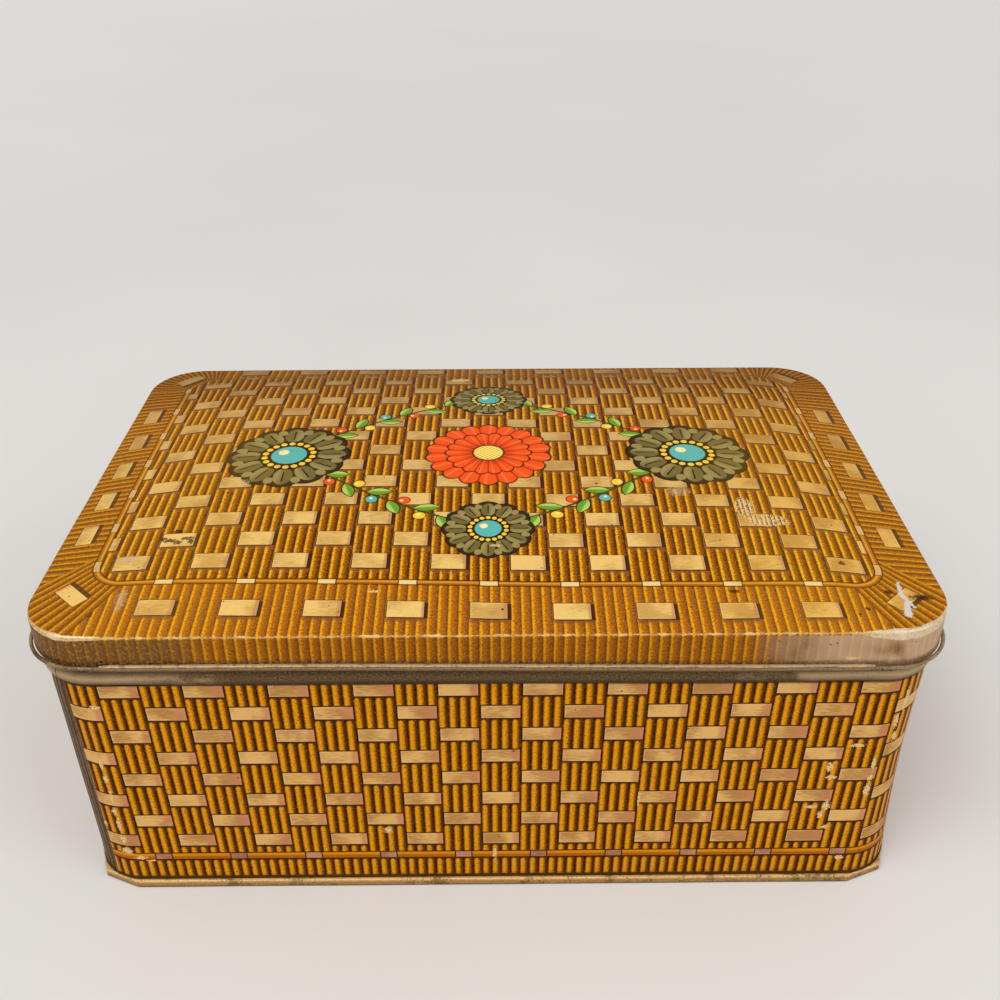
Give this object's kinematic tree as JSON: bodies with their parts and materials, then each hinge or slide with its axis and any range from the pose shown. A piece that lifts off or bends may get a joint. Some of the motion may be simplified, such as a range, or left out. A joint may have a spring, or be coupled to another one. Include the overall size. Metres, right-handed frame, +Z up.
{
  "type": "biscuit tin",
  "caption": "Rectangular tinplate biscuit tin with a hinged, gently domed lid, rolled edges, lock-seamed corners and a folded base rim.",
  "frame": {"origin": "centre of the footprint, on the surface that the base rim stands on", "axes": "+X along the long front, +Y towards the hinge at the back, +Z up"},
  "size_m": [0.2532, 0.1692, 0.1028],
  "materials": {
    "printed_walls": "lithographed amber and brown basketweave under worn varnish",
    "printed_lid": "lithographed amber and brown basketweave under worn varnish",
    "plain_tinplate": "dull bare tinplate, dusty and stained",
    "steel_wire": "dull tinned wire"
  },
  "bodies": {
    "tin": {"front_right_wall": "printed_walls", "back_left_wall": "printed_walls", "neck_collar": "plain_tinplate", "base_panel": "plain_tinplate", "hinge_strap_left": "plain_tinplate", "hinge_strap_right": "plain_tinplate"},
    "lid": {"lid_shell": "printed_lid", "lid_wire": "steel_wire"}
  },
  "joints": [
    {"name": "lid_hinge", "type": "hinge", "parent": "tin", "child": "lid", "pos_m": [0, 0.0836, 0.0862], "axis": [-1, 0, 0], "range_deg": [0, 110]}
  ]
}
